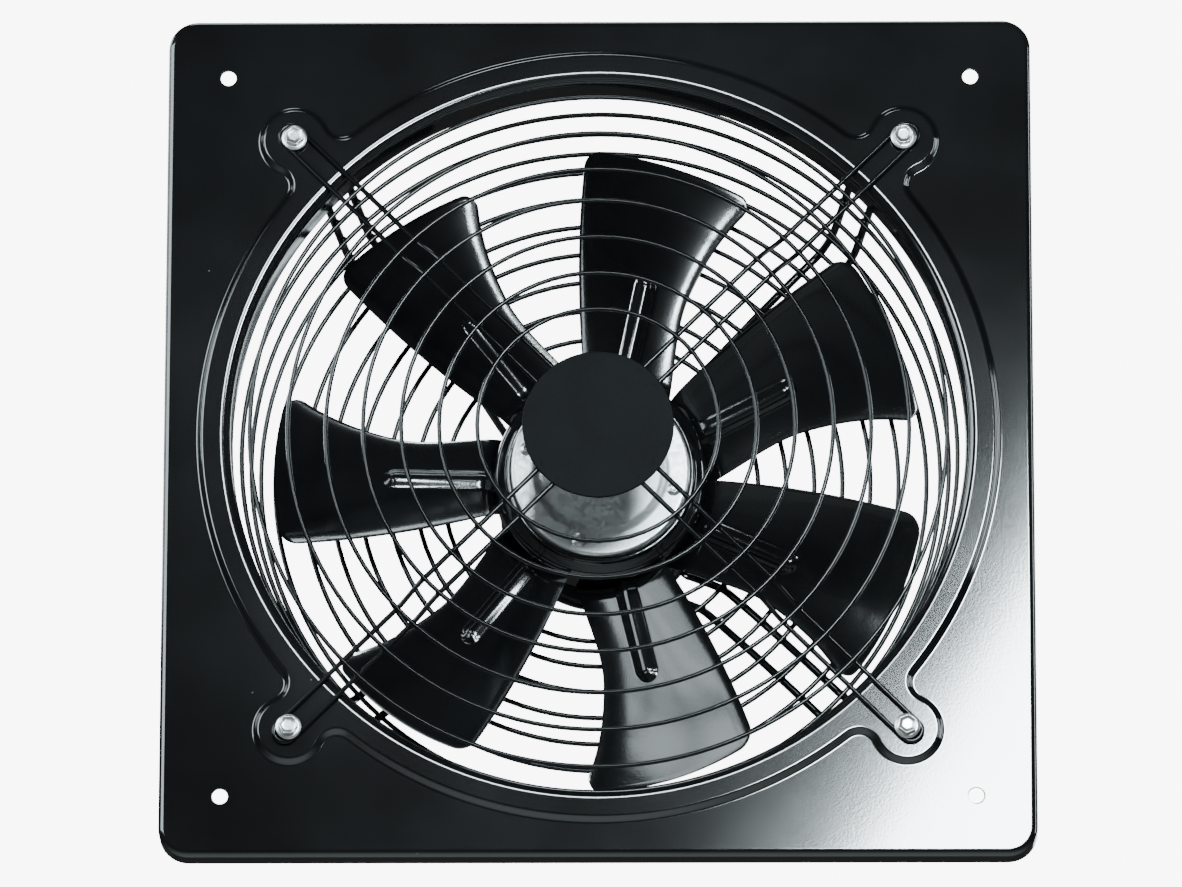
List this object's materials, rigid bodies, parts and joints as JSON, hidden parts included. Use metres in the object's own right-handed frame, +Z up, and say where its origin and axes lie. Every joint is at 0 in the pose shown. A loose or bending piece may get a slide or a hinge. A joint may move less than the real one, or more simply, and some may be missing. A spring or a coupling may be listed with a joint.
{
  "type": "axial fan",
  "caption": "Square plate axial extractor fan: black pressed plate, wire front guard, external-rotor motor with sheet blades, carried in a rear wire basket.",
  "frame": {"origin": "on the fan axis, in the plane of the wall that the folded rim's rear edge rests on", "axes": "+Y along the fan axis from the front guard to the motor, which is the way the air is blown; +Z up; +X to the right seen from the front"},
  "size_m": [0.5, 0.2019, 0.5],
  "materials": {
    "black_paint": "gloss",
    "guard_disc_paint": "satin",
    "zinc_plate": "bright",
    "galvanised_steel": "satin",
    "bearing_steel": "polished",
    "laminations": "matt",
    "copper_wire": "varnished",
    "cast_aluminium": "cast",
    "black_nylon": "matt"
  },
  "bodies": {
    "root": {"bearing_front": "bearing_steel", "bearing_rear": "bearing_steel", "cable_gland": "black_nylon", "front_guard_arm_1": "black_paint", "front_guard_arm_2": "black_paint", "front_guard_arm_3": "black_paint", "front_guard_arm_4": "black_paint", "front_guard_disc": "guard_disc_paint", "front_guard_ring_1": "black_paint", "front_guard_ring_2": "black_paint", "front_guard_ring_3": "black_paint", "front_guard_ring_4": "black_paint", "front_guard_ring_5": "black_paint", "front_guard_ring_6": "black_paint", "front_guard_ring_7": "black_paint", "guard_bolt_1": "zinc_plate", "guard_bolt_2": "zinc_plate", "guard_bolt_3": "zinc_plate", "guard_bolt_4": "zinc_plate", "guard_nut_1": "zinc_plate", "guard_nut_2": "zinc_plate", "guard_nut_3": "zinc_plate", "guard_nut_4": "zinc_plate", "motor_mount_disc": "black_paint", "motor_screw_1": "zinc_plate", "motor_screw_2": "zinc_plate", "motor_screw_3": "zinc_plate", "motor_screw_4": "zinc_plate", "rear_guard_arm_1": "black_paint", "rear_guard_arm_2": "black_paint", "rear_guard_arm_3": "black_paint", "rear_guard_arm_4": "black_paint", "rear_guard_ring_1": "black_paint", "rear_guard_ring_10": "black_paint", "rear_guard_ring_2": "black_paint", "rear_guard_ring_3": "black_paint", "rear_guard_ring_4": "black_paint", "rear_guard_ring_5": "black_paint", "rear_guard_ring_6": "black_paint", "rear_guard_ring_7": "black_paint", "rear_guard_ring_8": "black_paint", "rear_guard_ring_9": "black_paint", "stator_core": "laminations", "stator_flange": "cast_aluminium", "stator_winding": "copper_wire", "wall_plate": "black_paint"},
    "impeller": {"blade_1": "black_paint", "blade_2": "black_paint", "blade_3": "black_paint", "blade_4": "black_paint", "blade_5": "black_paint", "blade_6": "black_paint", "blade_7": "black_paint", "hub_band": "black_paint", "rotor_can": "galvanised_steel", "rotor_rivet_1": "zinc_plate", "rotor_rivet_2": "zinc_plate", "rotor_rivet_3": "zinc_plate", "rotor_rivet_4": "zinc_plate", "shaft": "bearing_steel"}
  },
  "joints": [
    {"name": "fan_spin", "type": "hinge", "parent": "root", "child": "impeller", "pos_m": [0, 0, 0], "axis": [0, 1, 0], "continuous": true}
  ]
}
